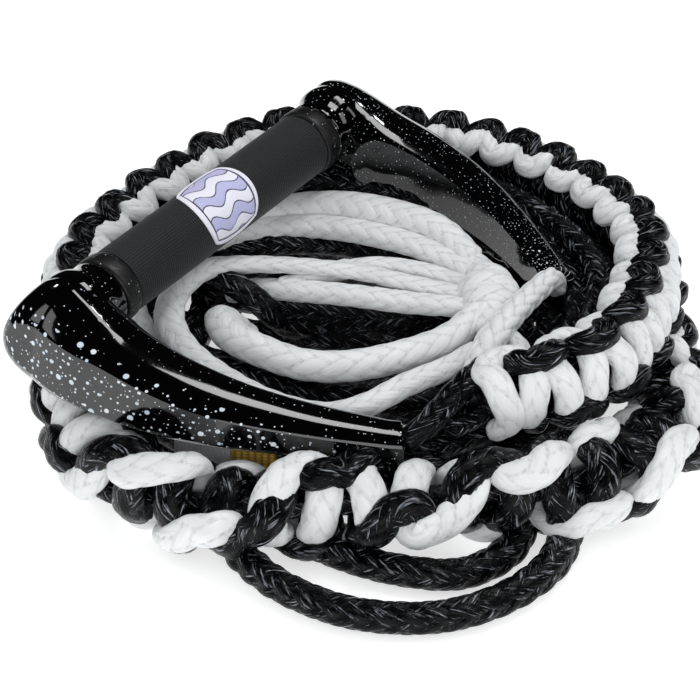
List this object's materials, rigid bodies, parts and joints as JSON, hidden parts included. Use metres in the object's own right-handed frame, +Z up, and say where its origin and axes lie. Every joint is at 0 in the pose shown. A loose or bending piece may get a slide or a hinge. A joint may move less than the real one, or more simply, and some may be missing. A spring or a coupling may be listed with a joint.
{
  "type": "tow rope handle",
  "caption": "Wakesurf tow handle: a fabric-covered bar between two moulded arms, resting on its coiled rope with a knotted black and white section.",
  "frame": {"origin": "on the floor, under the middle of the whole object", "axes": "+Z up from the floor; -Y towards the viewer and the loose front loops; +X to the viewer's right; the grip runs at 56 degrees from +X"},
  "size_m": [0.2758, 0.3063, 0.0868],
  "materials": {
    "arm_gloss": "gloss black with fine white speckle",
    "tube": "satin anodised",
    "foam": "closed-cell foam",
    "sleeve_fabric": "woven nylon",
    "emblem_thread": "satin embroidery",
    "black_rope": "braided, slightly shiny",
    "white_rope": "braided, satin",
    "yellow_webbing": "ribbed webbing",
    "grey_tab": "hook-and-loop tab"
  },
  "bodies": {
    "rope_coil": {"knotted_core_rope": "black_rope", "white_knotting_cord": "white_rope", "black_knotting_cord": "black_rope", "black_tie_knot": "black_rope", "white_gather_knot": "white_rope", "white_line_front_bight": "white_rope", "white_line_back_run": "white_rope", "black_main_line": "black_rope", "keeper_strap": "yellow_webbing", "keeper_strap_tab": "grey_tab", "near_rope_leg": "black_rope", "far_rope_leg": "white_rope"},
    "handle": {"grip_core_tube": "tube", "near_tube_plug": "foam", "far_tube_plug": "foam", "grip_foam": "foam", "grip_cover": "sleeve_fabric", "grip_emblem": "emblem_thread", "near_arm": "arm_gloss", "far_arm": "arm_gloss", "near_collar": "arm_gloss", "far_collar": "arm_gloss", "near_stopper_knot": "black_rope", "far_stopper_knot": "white_rope"},
    "slack_loops": {"outer_slack_loop": "black_rope", "inner_slack_loop": "black_rope"}
  },
  "joints": [
    {"name": "handle_swing", "type": "hinge", "parent": "rope_coil", "child": "handle", "pos_m": [0.0479, -0.03275, 0.0445], "axis": [0.5589, 0.8286, 0.0314], "range_deg": [0, 85], "deforming": ["near_rope_leg", "far_rope_leg"]},
    {"name": "slack_loop_lift", "type": "hinge", "parent": "rope_coil", "child": "slack_loops", "pos_m": [0.0192, -0.11975, 0.00475], "axis": [-1, 0, 0], "range_deg": [0, 35], "deforming": ["outer_slack_loop", "inner_slack_loop"]}
  ]
}
